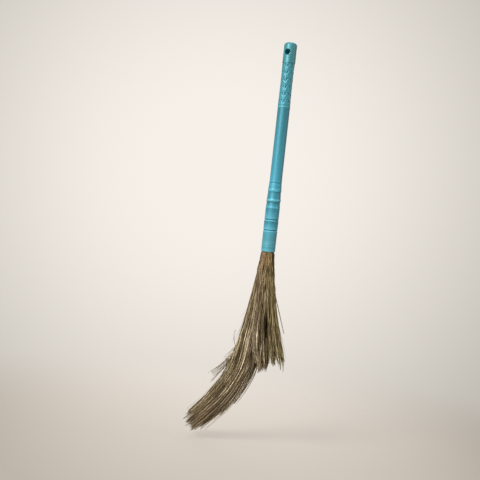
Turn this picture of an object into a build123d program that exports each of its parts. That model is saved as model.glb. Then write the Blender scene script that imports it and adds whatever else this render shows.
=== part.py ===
from build123d import *
import math
import os
import random

# A hand broom: stiff grass stems packed into the ringed collar of a moulded plastic handle.
# Millimetres. The origin is the centre of the hang hole, the handle runs along Z with its cap up,
# the hang hole runs along Y, and the grass is a flat fan in the XZ plane that has set towards -X.

# Handle as a whole, from the cap's crown down to the collar's mouth
handle_length = 480.0

# Cap, with the hang hole through it and a spigot that plugs the tube
cap_length = 47.0
cap_diameter = 29.6
cap_crown_round = 7.0
cap_crown_thickness = 3.0
cap_wall = 2.4
spigot_length = 18.0
spigot_clearance = 0.05
hang_hole_from_top = 23.0
hang_hole_diameter = 13.2
hang_hole_wall = 1.8
hang_hole_edge_round = 0.8

# Grip: a waisted length of the tube with upright rows of leaf pairs pressed into it
grip_length = 98.0
grip_end_diameter = 27.8
grip_waist_diameter = 26.6
leaf_columns = 5
leaf_turn = 8.0
leaf_rows = 6
leaf_raise = 2.7
leaf_length = 8.0
leaf_width = 3.0
leaf_tilt = 24.0
leaf_offset = 3.8
leaf_depth = 0.7

# Shaft of the tube, with a raised band where it meets the grip
shaft_diameter = 28.0
upper_bore_diameter = 22.8
band_diameter = 28.8
band_length = 5.0
band_bevel = 1.0

# Collar of the tube: four stepped rings, then three sleeves with a crimp groove between each
collar_wall = 1.9
ring_lengths = (17.0, 19.5, 22.5, 16.0)
ring_neck_diameters = (shaft_diameter, 29.4, 30.6, 31.6)
ring_lip_diameters = (30.0, 31.0, 33.0, 32.9)
ring_step = 1.2
sleeve_diameter = 32.4
mouth_diameter = 31.8
upper_sleeve_length = 23.0
middle_sleeve_length = 21.5
mouth_sleeve_length = 47.5
crimp_length = 3.0
crimp_bevel = 1.0
crimp_depth = 0.9

# Stems packed in the socket, and what holds them there
packing_gap = 0.3
stem_gap = 0.4
socket_depth = 96.0
side_hank_width = 8.6
peg_diameter = 8.0
peg_clearance = 0.1
peg_point = 5.0
peg_start = 16.0
peg_proud = 6.0
wire_diameter = 1.3
wire_turns = 6
wire_pitch = 1.8
wire_room = 0.15
lower_binding_height = 28.0
upper_binding_height = 86.0
nail_diameter = 1.8
nail_length = 18.0
nail_point = 3.0
nail_head_diameter = 4.4
nail_head_thickness = 0.9
nail_clearance = 0.05
nail_heights = (41.0, 61.0)

# Flex at the mouth: the free grass leans on a ball of stems, nested in the packed stems
flex_room = 0.3
stub_length = 3.0

# Free grass: a fan that swells out of the mouth and opens, and whose long side sweeps into a tail
strand_pitch = 1.06
strand_pattern_turn = 10.0
strand_edge_room = 0.45
strand_root_radius = 0.36
strand_middle_radius = 0.72
strand_tip_radius = 0.3
strand_swell_depth = 120.0
strand_embed = 1.0
strand_sides = 3
mouth_swell = 3.0
mouth_swell_length = 10.0
fan_side_slope = 0.11
fan_side_curve = 0.00036
fan_front_slope = 0.055
short_side_flare = 0.0002
tail_start = 260.0
tail_side_slope = 0.138
sweep_start = 250.0
sweep_rate = 0.017
sweep_power = 1.7
tuft_lengths = (278.0, 274.0, 256.0, 264.0, 258.0)
tuft_point_length = 20.0
parting = -0.08
tail_inner_length = 438.0
tail_outer_length = 392.0
ragged_length = 9.0
straight_spacing = 120.0
curved_spacing = 42.0
ragged_seed = 7

# Heights and radii that follow from the sizes above
top_z = hang_hole_from_top
seam_z = top_z - cap_length
grip_low_z = seam_z - grip_length
mouth_z = top_z - handle_length
hang_hole_radius = hang_hole_diameter / 2
spigot_radius = upper_bore_diameter / 2 - spigot_clearance
cap_cavity_radius = spigot_radius - cap_wall
stem_radius = sleeve_diameter / 2 - crimp_depth - collar_wall - packing_gap
centre_half_width = stem_radius - side_hank_width
wire_waist_radius = mouth_diameter / 2 - collar_wall - wire_diameter - 2 * wire_room
wire_centre_radius = wire_waist_radius + wire_room + wire_diameter / 2
fan_start = math.hypot(stub_length, stem_radius)


def turned(*edges):
    """Solid of revolution about Z, from a closed outline drawn in the XZ plane."""
    return revolve(make_face(list(edges)), Axis.Z)


def outline(points):
    """Chain of straight lines through points given as radius and height."""
    return Polyline(*[(radius, 0, height) for radius, height in points])


def upright(radius, low, high):
    """Cylinder on the handle's axis between two heights above the mouth."""
    return Pos(0, 0, mouth_z + (low + high) / 2) * Cylinder(radius, high - low)


def hang_cap():
    """Moulded cap: a rounded head with the hang hole's tube across it, hollow down through its spigot."""
    cap_radius = cap_diameter / 2
    spigot_end = seam_z - spigot_length
    crown_edge = (cap_radius - cap_crown_round, 0, top_z)
    corner = math.sqrt(0.5) * cap_crown_round
    crown_middle = (cap_radius - cap_crown_round + corner, 0, top_z - cap_crown_round + corner)
    side_top = (cap_radius, 0, top_z - cap_crown_round)
    outside = outline([
        (cap_cavity_radius, spigot_end), (spigot_radius, spigot_end), (spigot_radius, seam_z),
        (cap_radius, seam_z), (cap_radius, top_z - cap_crown_round)])
    crown = ThreePointArc(side_top, crown_middle, crown_edge)
    inside = outline([
        (cap_radius - cap_crown_round, top_z), (0, top_z), (0, top_z - cap_crown_thickness),
        (cap_cavity_radius, top_z - cap_crown_thickness), (cap_cavity_radius, spigot_end)])
    shell = turned(outside, crown, inside)
    across = Rotation(90, 0, 0)
    boss = across * Cylinder(hang_hole_radius + hang_hole_wall, cap_diameter)
    core = Pos(0, 0, top_z - cap_length / 2) * Cylinder(cap_cavity_radius, cap_length)
    cap = shell + (boss & core) - across * Cylinder(hang_hole_radius, 2 * cap_diameter)
    rim = cap.edges().filter_by(lambda edge: abs(edge.center().Y) > cap_cavity_radius)
    rim = rim.filter_by(lambda edge: abs(edge.center().Z) < hang_hole_radius)
    return fillet(rim, hang_hole_edge_round)


def grip_radius(share):
    """Outer radius of the grip at a share of its length: a parabola with its waist halfway."""
    end = grip_end_diameter / 2
    waist = grip_waist_diameter / 2
    return waist + (end - waist) * (2 * share - 1) ** 2


def leaf_cutters():
    """Leaf-shaped cutters, in pairs that open upwards, in upright rows all round the grip."""
    half = leaf_length / 2
    bulge = leaf_width / 2
    right_edge = ThreePointArc((0, -half), (bulge, 0), (0, half))
    left_edge = ThreePointArc((0, half), (-bulge, 0), (0, -half))
    leaf = make_face([right_edge, left_edge])
    cutters = []
    for column in range(leaf_columns):
        for row in range(leaf_rows):
            share = (row + 0.5) / leaf_rows - leaf_raise / grip_length
            floor = grip_radius(share) - leaf_depth
            place = (0, -floor, seam_z - grip_length * share)
            seat = Plane(origin=place, x_dir=(1, 0, 0), z_dir=(0, -1, 0))
            for side in (-1, 1):
                turn = leaf_turn + 360 / leaf_columns * column + side * math.degrees(leaf_offset / floor)
                tilt = Rotation(0, 0, -side * leaf_tilt)
                cutters.append(Rotation(0, 0, turn) * extrude(seat * tilt * leaf, 2 * leaf_depth))
    return cutters


def collar_corners():
    """Outer radius and height of the collar's corners, from the shaft's end down to the mouth."""
    sleeve = sleeve_diameter / 2
    groove = sleeve - crimp_depth
    low_crimp = mouth_z + mouth_sleeve_length
    high_crimp = low_crimp + crimp_length + middle_sleeve_length
    rings_end = high_crimp + crimp_length + upper_sleeve_length
    height = rings_end + sum(ring_lengths)
    corners = [(ring_neck_diameters[0] / 2, height)]
    next_necks = ring_neck_diameters[1:] + (sleeve_diameter,)
    for length, lip, next_neck in zip(ring_lengths, ring_lip_diameters, next_necks):
        height -= length
        corners.append((lip / 2, height + ring_step))
        corners.append((next_neck / 2, height))
    for low in (high_crimp, low_crimp):
        corners.append((sleeve, low + crimp_length))
        corners.append((groove, low + crimp_length - crimp_bevel))
        corners.append((groove, low + crimp_bevel))
        corners.append((sleeve, low))
    corners.append((mouth_diameter / 2, mouth_z))
    return corners


def handle_tube():
    """One moulding: leaf-patterned grip, plain shaft and the collar, whose bore follows its outside."""
    bore = upper_bore_diameter / 2
    end = grip_end_diameter / 2
    band = band_diameter / 2
    shaft = shaft_diameter / 2
    waist_handle = 2 * grip_radius(0.5) - end
    grip = Bezier((end, 0, seam_z), (waist_handle, 0, (seam_z + grip_low_z) / 2), (end, 0, grip_low_z))
    collar = collar_corners()
    bore_end = collar[0][1] + ring_step
    outside = [
        (end, grip_low_z), (band, grip_low_z - band_bevel),
        (band, grip_low_z - band_length + band_bevel), (shaft, grip_low_z - band_length)]
    inside = [(radius - collar_wall, height) for radius, height in reversed(collar)]
    rest = outside + collar + inside + [(bore, bore_end), (bore, seam_z), (end, seam_z)]
    tube = turned(grip, outline(rest)) - leaf_cutters()
    for nail_height in nail_heights:
        tube -= nail_shank(nail_height, nail_clearance)
    return tube


def nail_shank(height, room):
    """Pointed shank of a nail driven in from the back of the collar, widened by the room round it."""
    seat = sleeve_diameter / 2
    radius = nail_diameter / 2 + room
    straight = nail_length - nail_point
    shank = turned(outline([
        (0, nail_head_thickness), (radius, nail_head_thickness), (radius, -straight), (0, -nail_length),
        (0, nail_head_thickness)]))
    return Pos(0, seat, mouth_z + height) * Rotation(-90, 0, 0) * shank


def retaining_nail(height):
    """Flat-headed nail through the back of the collar, the packed stems and the peg."""
    head = Pos(0, 0, nail_head_thickness / 2) * Cylinder(nail_head_diameter / 2, nail_head_thickness)
    placed = Pos(0, sleeve_diameter / 2, mouth_z + height) * Rotation(-90, 0, 0) * head
    return placed + nail_shank(height, 0)


def core_peg():
    """Bamboo peg driven up the middle of the stems to jam them against the collar."""
    radius = peg_diameter / 2
    low = mouth_z + peg_start
    high = mouth_z + socket_depth + peg_proud
    peg = turned(outline([
        (0, low), (radius / 2, low), (radius, low + peg_point), (radius, high), (0, high), (0, low)]))
    for height in nail_heights:
        peg -= nail_shank(height, nail_clearance)
    return peg


def binding_path(height):
    """Close turns of wire at a height, as arcs: each quarter turn of the helix is two arcs that meet."""
    start = mouth_z + height - wire_pitch * wire_turns / 2

    def place(quarter):
        angle = quarter * math.pi / 2
        climb = wire_pitch * quarter / 4
        x = wire_centre_radius * math.cos(angle)
        y = wire_centre_radius * math.sin(angle)
        return Vector(x, y, start + climb)

    def heading(quarter):
        angle = quarter * math.pi / 2
        along = Vector(-math.sin(angle), math.cos(angle), 0) * wire_centre_radius
        return (along + Vector(0, 0, wire_pitch / (2 * math.pi))).normalized()

    edges = []
    for quarter in range(4 * wire_turns):
        first, last = place(quarter), place(quarter + 1)
        leaving, arriving = heading(quarter), heading(quarter + 1)
        chord = last - first
        bend = 1 - leaving.dot(arriving)
        reach = chord.dot(leaving + arriving)
        handle = (math.sqrt(reach ** 2 + 2 * bend * chord.dot(chord)) - reach) / (2 * bend)
        joint = (first + last + (leaving - arriving) * handle) * 0.5
        turning = (last - arriving * handle) - (first + leaving * handle)
        edges.append(Edge.make_tangent_arc(first, leaving, joint))
        edges.append(Edge.make_tangent_arc(joint, turning, last))
    return Wire(edges)


def binding_wire(height):
    """Iron wire wound tight round the stems, in the waist that it presses into them."""
    path = binding_path(height)
    section = Plane(origin=path @ 0, z_dir=path % 0) * Circle(wire_diameter / 2)
    samples = 48 * wire_turns
    points = [path @ (index / samples) for index in range(samples + 1)]
    apart = samples // wire_turns // 2
    least = min(
        (points[later] - points[index]).length
        for index in range(samples + 1) for later in range(index + apart, samples + 1))
    print(f"binding wire at {height:g}: least gap to itself {least - wire_diameter:.2f} mm")
    return sweep(section, path)


def hank_cells():
    """Plan of each hank in the socket: a side range and a front-to-back range, by name."""
    half_gap = stem_gap / 2
    third = stem_radius / 3
    beyond = 2 * stem_radius
    rows = {
        "front": (-beyond, -third - half_gap),
        "middle": (half_gap - third, third - half_gap),
        "back": (third + half_gap, beyond)}
    cells = {}
    for row, depth in rows.items():
        cells["left_" + row] = ((-beyond, -centre_half_width - half_gap), depth)
        cells["right_" + row] = ((centre_half_width + half_gap, beyond), depth)
    for row, depth in (("front", (-beyond, -half_gap)), ("back", (half_gap, beyond))):
        cells["centre_left_" + row] = ((half_gap - centre_half_width, -half_gap), depth)
        cells["centre_right_" + row] = ((half_gap, centre_half_width - half_gap), depth)
    return cells


def cell_block(cell):
    """Tall block over one hank's plan, to cut its share out of the round bundle."""
    (left, right), (front, back) = cell
    block = Box(right - left, back - front, 4 * socket_depth)
    return Pos((left + right) / 2, (front + back) / 2, mouth_z) * block


def packed_stems():
    """Upper ends of all the hanks, packed in the socket round the peg and waisted under the wire."""
    bundle = upright(stem_radius, 0, socket_depth)
    bundle -= Pos(0, 0, mouth_z) * Sphere(stem_radius + flex_room)
    bundle -= upright(peg_diameter / 2 + peg_clearance, 0, socket_depth)
    half_binding = wire_pitch * wire_turns / 2 + wire_diameter
    for height in (lower_binding_height, upper_binding_height):
        low, high = height - half_binding, height + half_binding
        bundle -= upright(stem_radius + packing_gap, low, high) - upright(wire_waist_radius, low, high)
    for height in nail_heights:
        bundle -= nail_shank(height, nail_clearance)
    shares = [bundle & cell_block(cell) for cell in hank_cells().values()]
    return Compound(children=[solid for share in shares for solid in share.solids()])


def fan_half_width(across, reach):
    """Sideways half width of the fan at a distance from the mouth's X axis; its short side flares more."""
    opened = max(0, min(reach, tail_start) - fan_start)
    swell = mouth_swell * min(1, opened / mouth_swell_length)
    flare = short_side_flare * max(0, across) * opened ** 2
    tail = tail_side_slope * max(0, reach - tail_start)
    return stem_radius + swell + fan_side_slope * opened + fan_side_curve * opened ** 2 + flare + tail


def fan_half_depth(depth):
    """Front-to-back half depth of the fan at a depth below the mouth."""
    opened = max(0, depth - fan_start)
    return stem_radius + mouth_swell * min(1, opened / mouth_swell_length) + fan_front_slope * opened


def tail_sweep(reach):
    """How far the set of the grass has carried it towards -X."""
    return -sweep_rate * max(0, reach - sweep_start) ** sweep_power


def strand_point(across, through, depth):
    """Point of a strand; its place across the fan turns only with its distance from the mouth's X axis."""
    y = through * fan_half_depth(depth)
    reach = math.hypot(depth, y)
    x = across * fan_half_width(across, reach) + tail_sweep(reach)
    return Vector(x, y, mouth_z - depth)


def strand_length(across):
    """Depth of a strand's tip: short pointed tufts on one side of the parting, the long tail on the other."""
    if across > parting:
        place = (across - parting) / (1 - parting) * len(tuft_lengths)
        tuft = math.floor(place)
        off_point = abs(2 * (place - tuft) - 1)
        return tuft_lengths[tuft] - tuft_point_length * off_point
    share = (parting - across) / (1 + parting)
    return tail_inner_length + (tail_outer_length - tail_inner_length) * share


def strand_stations(length):
    """Depths of a strand's sections, closer where the fan swells out and where the tail curves."""
    stations = [stub_length - strand_embed, fan_start, fan_start + mouth_swell_length]
    straight_end = min(length, sweep_start)
    straight = straight_end - stations[-1]
    steps = math.ceil(straight / straight_spacing)
    stations += [stations[-1] + straight * (step + 1) / steps for step in range(steps)]
    curved = length - straight_end
    steps = math.ceil(curved / curved_spacing)
    return stations + [straight_end + curved * (step + 1) / steps for step in range(steps)]


def strand(across, through, length):
    """One tapered strand of a few flat sides, lofted through sections square to its path."""
    sections = []
    for depth in strand_stations(length):
        centre = strand_point(across, through, depth)
        along = strand_point(across, through, depth + 1) - strand_point(across, through, depth - 1)
        swell = min(1, depth / strand_swell_depth)
        taper = (depth / length) ** 3
        radius = strand_root_radius + (strand_middle_radius - strand_root_radius) * swell
        radius += (strand_tip_radius - strand_middle_radius) * taper
        plane = Plane(origin=centre, x_dir=(0, 1, 0), z_dir=along)
        corners = []
        for side in range(strand_sides):
            angle = 2 * math.pi * side / strand_sides
            corners.append(plane.from_local_coords((radius * math.cos(angle), radius * math.sin(angle), 0)))
        sections.append(Wire.make_polygon(corners, close=True))
    return Solid.make_loft(sections, True)


def strand_roots(cell):
    """Where strands leave one hank: the points of one honeycomb over the bundle that fall in its plan."""
    (left, right), (front, back) = cell
    row_pitch = strand_pitch * math.sqrt(3) / 2
    cosine = math.cos(math.radians(strand_pattern_turn))
    sine = math.sin(math.radians(strand_pattern_turn))
    count = math.ceil(stem_radius / row_pitch) + 1
    for row in range(-count, count + 1):
        for step in range(-count, count + 1):
            along_row = (step + row % 2 / 2) * strand_pitch
            x = row * row_pitch * cosine - along_row * sine
            y = row * row_pitch * sine + along_row * cosine
            inside = left + strand_edge_room < x < right - strand_edge_room
            inside = inside and front + strand_edge_room < y < back - strand_edge_room
            if inside and math.hypot(x, y) < stem_radius - strand_edge_room:
                yield x, y


def hank(cell, ragged):
    """One hank of free grass: its share of the ball of stems at the mouth, with its strands fused to it."""
    ball = ThreePointArc(
        (0, 0, mouth_z + stem_radius),
        (stem_radius * math.sqrt(0.5), 0, mouth_z + stem_radius * math.sqrt(0.5)),
        (stem_radius, 0, mouth_z))
    stub_end = mouth_z - stub_length
    stub = outline([
        (stem_radius, mouth_z), (stem_radius, stub_end), (0, stub_end), (0, mouth_z + stem_radius)])
    seam_in_gap = Rotation(0, 0, 90)
    root = seam_in_gap * turned(ball, stub) & cell_block(cell)
    strands = []
    for x, y in strand_roots(cell):
        across = x / stem_radius
        length = strand_length(across) - ragged_length * ragged.random()
        strands.append(strand(across, y / stem_radius, length))
    return root.solid().fuse(*strands), len(strands)


def write(node, shape):
    """Save one piece under its node's name."""
    export_step(shape, os.path.join("parts", node + ".step"))


os.makedirs("parts", exist_ok=True)
write("hang_cap", hang_cap())
write("handle_tube", handle_tube())
write("core_peg", core_peg())
write("stem_butts", packed_stems())
write("binding_wire_upper", binding_wire(upper_binding_height))
write("binding_wire_lower", binding_wire(lower_binding_height))
write("retaining_nails", Compound(children=[retaining_nail(height) for height in nail_heights]))

ragged_source = random.Random(ragged_seed)
strand_count = 0
for hank_name, hank_cell in hank_cells().items():
    hank_solid, hank_strands = hank(hank_cell, ragged_source)
    write("hank_" + hank_name, hank_solid)
    strand_count += hank_strands
print(f"strands in all: {strand_count}")
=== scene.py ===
import math

import bpy
import numpy as np
from mathutils import Matrix, Vector


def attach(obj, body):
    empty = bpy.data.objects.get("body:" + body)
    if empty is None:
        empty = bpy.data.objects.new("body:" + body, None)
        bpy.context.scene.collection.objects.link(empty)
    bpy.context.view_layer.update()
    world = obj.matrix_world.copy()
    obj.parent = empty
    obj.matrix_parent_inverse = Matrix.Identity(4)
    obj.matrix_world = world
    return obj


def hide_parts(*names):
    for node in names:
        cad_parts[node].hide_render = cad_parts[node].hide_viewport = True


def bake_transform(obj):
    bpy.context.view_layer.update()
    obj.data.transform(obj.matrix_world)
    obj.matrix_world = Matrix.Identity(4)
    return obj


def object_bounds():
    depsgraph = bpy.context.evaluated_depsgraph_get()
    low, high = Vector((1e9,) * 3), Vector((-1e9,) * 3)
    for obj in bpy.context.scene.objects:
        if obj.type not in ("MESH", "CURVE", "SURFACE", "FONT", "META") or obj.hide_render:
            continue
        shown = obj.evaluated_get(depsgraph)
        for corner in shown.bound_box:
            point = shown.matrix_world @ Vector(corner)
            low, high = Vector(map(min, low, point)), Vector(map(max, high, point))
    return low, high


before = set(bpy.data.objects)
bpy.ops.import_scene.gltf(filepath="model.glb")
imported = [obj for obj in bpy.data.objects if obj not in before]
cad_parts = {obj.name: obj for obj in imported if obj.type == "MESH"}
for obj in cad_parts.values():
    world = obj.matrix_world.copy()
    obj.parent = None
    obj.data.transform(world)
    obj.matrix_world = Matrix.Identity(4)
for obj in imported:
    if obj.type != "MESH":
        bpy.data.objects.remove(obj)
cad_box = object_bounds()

# Packed stem butts: the upper ends of the dry grass stems, cut square and jammed side by side in the
# socket. The peg wedges them apart in the middle, and two wire bindings pinch them in.

mm = 0.001
mouth_z = -457.0
bundle_radius = 13.1
socket_depth = 96.0
butt_pitch = 1.7
butt_radius = 0.78
butts_inner_radius = 4.9
butts_outer_radius = 12.2
butt_low_gap = 0.6
stem_sides = 4


def linear(colour):
    """Linear colour of an sRGB hex value."""
    channels = [int(colour[start:start + 2], 16) / 255 for start in (1, 3, 5)]
    return [c / 12.92 if c <= 0.04045 else ((c + 0.055) / 1.055) ** 2.4 for c in channels] + [1.0]


def add_node(tree, kind, inputs=None, **settings):
    """Adds a shader node: settings are its own values, inputs its sockets' values or what is linked to them, an
    output or a node, which stands for its first output in use. A Mix node's sockets go by number: 0 is its
    factor, 2 and 3 are its numbers, 6 and 7 its colours."""
    node = tree.nodes.new("ShaderNode" + kind)
    for name, value in settings.items():
        setattr(node, name, value)
    for socket, value in (inputs or {}).items():
        if isinstance(value, bpy.types.Node):
            value = next(output for output in value.outputs if output.enabled)
        if isinstance(value, bpy.types.NodeSocket):
            tree.links.new(value, node.inputs[socket])
        else:
            node.inputs[socket].default_value = value
    return node


def new_material(name):
    """An empty node material and its tree."""
    material = bpy.data.materials.new(name)
    material.use_nodes = True
    material.node_tree.nodes.clear()
    return material, material.node_tree


def new_piece(name, corners, faces, material):
    """A smooth piece from its corners in millimetres, with one material."""
    mesh = bpy.data.meshes.new(name)
    mesh.from_pydata(np.asarray(corners, float) * mm, [], np.asarray(faces, int))
    mesh.polygons.foreach_set("use_smooth", [True] * len(mesh.polygons))
    mesh.materials.append(material)
    piece = bpy.data.objects.new(name, mesh)
    bpy.context.scene.collection.objects.link(piece)
    return piece


def point_values(piece, name, values):
    """Stores a number or a vector for each corner of a piece, for its material to read."""
    values = np.asarray(values, np.float32)
    kind, part = ("FLOAT", "value") if values.ndim == 1 else ("FLOAT_VECTOR", "vector")
    stored = piece.data.attributes.new(name, kind, "POINT")
    stored.data.foreach_set(part, values.ravel())


def bundle_of_stems(name, stems, material):
    """One piece from many stems. A stem is its centre line, radii, tones from dark to light, hue, and place: how
    far across and through the bundle it runs, and the depth below the mouth in metres."""
    step = np.arange(stem_sides)
    following = (step + 1) % stem_sides
    turn = step * 2 * math.pi / stem_sides
    corners, faces = [], []
    stored = {"tone": [], "hue": [], "place": [], "number": []}
    first = 0
    for number, (line, radii, tone, hue, place) in enumerate(stems):
        heading = np.gradient(line, axis=0)
        heading /= np.linalg.norm(heading, axis=1)[:, None]
        side = np.cross(heading, (0.0, 1.0, 0.0))
        side /= np.linalg.norm(side, axis=1)[:, None]
        front = np.cross(side, heading)
        ring = np.cos(turn)[None, :, None] * side[:, None] + np.sin(turn)[None, :, None] * front[:, None]
        corners.append((line[:, None] + radii[:, None, None] * ring).reshape(-1, 3))
        count = len(line)
        low = first + stem_sides * np.arange(count - 1)[:, None]
        high = low + stem_sides
        walls = np.stack([low + step, high + step, high + following, low + following], axis=2)
        last = first + stem_sides * (count - 1)
        faces += [walls.reshape(-1, 4), [first + step, last + step[::-1]]]
        stored["tone"].append(np.repeat(np.broadcast_to(tone, count), stem_sides))
        stored["hue"].append(np.full(count * stem_sides, hue))
        stored["place"].append(np.repeat(place, stem_sides, axis=0))
        stored["number"].append(np.full(count * stem_sides, number))
        first += count * stem_sides
    piece = new_piece(name, np.concatenate(corners), np.concatenate(faces), material)
    for kind, values in stored.items():
        point_values(piece, kind, np.concatenate(values))
    return piece


# Dry grass, split and sun bleached: grey brown to olive and straw with warm darks, a little redder near the
# mouth, in streaks that run down the fan with the stems. Each stem's own shade comes and goes every 40 mm,
# weathered patches are 4 mm wide and 14 mm long, and the skin is dull. The streaks are drawn 2 mm wide and
# more so that they show, with more of them where the fan is open.
stems_apart = 7.31
own_shade_length = 40.0
patches_in_metre = (250, 250, 70)
# A kind of streak: how many to the fan's half width, its half depth and a metre of its length, the part of
# the noise that it takes up, and its shades.
wide_streaks = ((15, 9, 34), (0.36, 0.64), (0.35, 1.8))
fine_streaks = ((34, 15, 14), (0.4, 0.6), (0.48, 1.62))
grass, tree = new_material("dry_grass")
tone_value = add_node(tree, "Attribute", attribute_name="tone")
hue_value = add_node(tree, "Attribute", attribute_name="hue")
stem_number = add_node(tree, "Attribute", attribute_name="number")
fan_place = add_node(tree, "Attribute", attribute_name="place")
fan_axes = add_node(tree, "SeparateXYZ", {0: fan_place.outputs["Vector"]})
object_space = add_node(tree, "TexCoord")
lower_half = add_node(tree, "MapRange", {"Value": tone_value.outputs["Fac"], "From Max": 0.5})
upper_half = add_node(tree, "MapRange", {"Value": tone_value.outputs["Fac"], "From Min": 0.5})
middle_colour = add_node(tree, "Mix", {
    0: hue_value.outputs["Fac"], 6: linear("#8F7C61"), 7: linear("#8D7D50")}, data_type="RGBA")
light_colour = add_node(tree, "Mix", {
    0: hue_value.outputs["Fac"], 6: linear("#D1C3AA"), 7: linear("#CDC096")}, data_type="RGBA")
brown = add_node(tree, "Mix", {0: lower_half, 6: linear("#352310"), 7: middle_colour}, data_type="RGBA")
straw = add_node(tree, "Mix", {0: upper_half, 6: brown, 7: light_colour}, data_type="RGBA")
streak_shades = []
for counts, taken, shades in (wide_streaks, fine_streaks):
    streak_space = add_node(tree, "Mapping", {"Vector": fan_place.outputs["Vector"], "Scale": counts})
    streaks = add_node(tree, "TexNoise", {"Vector": streak_space, "Scale": 1.0, "Detail": 1.0, "Roughness": 0.7})
    streak_shades.append(add_node(tree, "MapRange", {
        "Value": streaks, "From Min": taken[0], "From Max": taken[1], "To Min": shades[0], "To Max": shades[1]}))
spread_out = add_node(tree, "MapRange", {
    "Value": fan_axes.outputs["Z"], "From Min": 60 * mm, "From Max": 200 * mm})
streak_shade = add_node(tree, "Mix", {0: spread_out, 2: streak_shades[0], 3: streak_shades[1]})
own_place = add_node(tree, "Math", {0: stem_number.outputs["Fac"], 1: stems_apart}, operation="MULTIPLY")
own_depth = add_node(tree, "Math", {
    0: fan_axes.outputs["Z"], 1: 1 / (own_shade_length * mm)}, operation="MULTIPLY")
own_space = add_node(tree, "CombineXYZ", {0: own_place, 1: own_depth})
own_noise = add_node(tree, "TexNoise", {"Vector": own_space, "Scale": 1.0, "Detail": 3.0})
own_shade = add_node(tree, "MapRange", {
    "Value": own_noise, "From Min": 0.3, "From Max": 0.7, "To Min": 0.65, "To Max": 1.35})
patch_space = add_node(tree, "Mapping", {"Vector": object_space.outputs["Object"], "Scale": patches_in_metre})
patches = add_node(tree, "TexNoise", {"Vector": patch_space, "Scale": 1.0})
patch_shade = add_node(tree, "MapRange", {
    "Value": patches, "From Min": 0.3, "From Max": 0.7, "To Min": 0.7, "To Max": 1.28})
mottle = add_node(tree, "Math", {0: own_shade, 1: patch_shade}, operation="MULTIPLY")
shade = add_node(tree, "Math", {0: mottle, 1: streak_shade}, operation="MULTIPLY")
warm_shade = add_node(tree, "VectorMath", {0: shade, 1: (1.0, 1.08, 1.28)}, operation="POWER")
streaked = add_node(tree, "VectorMath", {0: straw, 1: warm_shade}, operation="MULTIPLY")
near_mouth = add_node(tree, "MapRange", {
    "Value": fan_axes.outputs["Z"], "From Min": 10 * mm, "From Max": 70 * mm, "To Min": 1.0, "To Max": 0.0})
stained = add_node(tree, "Mix", {
    0: near_mouth, 6: streaked, 7: linear("#FFF1E1")}, data_type="RGBA", blend_type="MULTIPLY")
dullness = add_node(tree, "MapRange", {
    "Value": own_noise, "From Min": 0.2, "From Max": 0.8, "To Min": 0.55, "To Max": 0.8})
ridges = add_node(tree, "Bump", {"Height": patches, "Strength": 0.2, "Distance": 0.2 * mm})
surface = add_node(tree, "BsdfPrincipled", {
    "Base Color": stained, "Roughness": dullness, "Normal": ridges, "IOR": 1.45, "Specular IOR Level": 0.25})
add_node(tree, "OutputMaterial", {"Surface": surface})

butts = []
butt_choice = np.random.default_rng(3)
butt_row = butt_pitch * math.sqrt(0.75)
reach = math.ceil(bundle_radius / butt_row)
for row in range(-reach, reach + 1):
    for column in range(-reach, reach + 1):
        x = (column + row % 2 / 2) * butt_pitch
        y = row * butt_row
        out = math.hypot(x, y)
        if butts_inner_radius < out < butts_outer_radius - butt_radius:
            ends = (socket_depth, math.sqrt(bundle_radius ** 2 - out ** 2) + butt_low_gap)
            line = np.array([(x, y, mouth_z + height) for height in ends])
            place = np.array([(x / bundle_radius, y / bundle_radius, -height * mm) for height in ends])
            butts.append((line, np.full(2, butt_radius), butt_choice.random(), butt_choice.random(), place))
packed_butts = bundle_of_stems("packed_butts", butts, grass)
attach(packed_butts, "handle")
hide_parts("stem_butts")

# Core peg: a split bamboo peg, whittled to a blunt point and driven up the middle of the stems to jam
# them. It is hidden in the socket.


def set_material(node_name, material):
    """Gives a mesh that comes from the CAD its one material."""
    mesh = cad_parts[node_name].data
    mesh.materials.clear()
    mesh.materials.append(material)


# Bamboo, split and left raw: pale straw with darker vessel streaks along it, half a millimetre apart.
vessel_width = 0.5
vessel_length = 25.0
bamboo, tree = new_material("raw_bamboo")
object_space = add_node(tree, "TexCoord")
vessel_space = add_node(tree, "Mapping", {
    "Vector": object_space.outputs["Object"],
    "Scale": [1 / (size * mm) for size in (vessel_width, vessel_width, vessel_length)]})
vessels = add_node(tree, "TexNoise", {"Vector": vessel_space, "Scale": 1.0})
vessel_mix = add_node(tree, "MapRange", {"Value": vessels, "From Min": 0.35, "From Max": 0.65})
bamboo_colour = add_node(tree, "Mix", {
    0: vessel_mix, 6: linear("#C8AF7A"), 7: linear("#9A7F4E")}, data_type="RGBA")
surface = add_node(tree, "BsdfPrincipled", {"Base Color": bamboo_colour, "Roughness": 0.55, "IOR": 1.5})
add_node(tree, "OutputMaterial", {"Surface": surface})
set_material("core_peg", bamboo)

# Binding wires: two windings of soft iron wire that pull the stems together before they go into the
# collar. Both are hidden in the socket.

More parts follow.
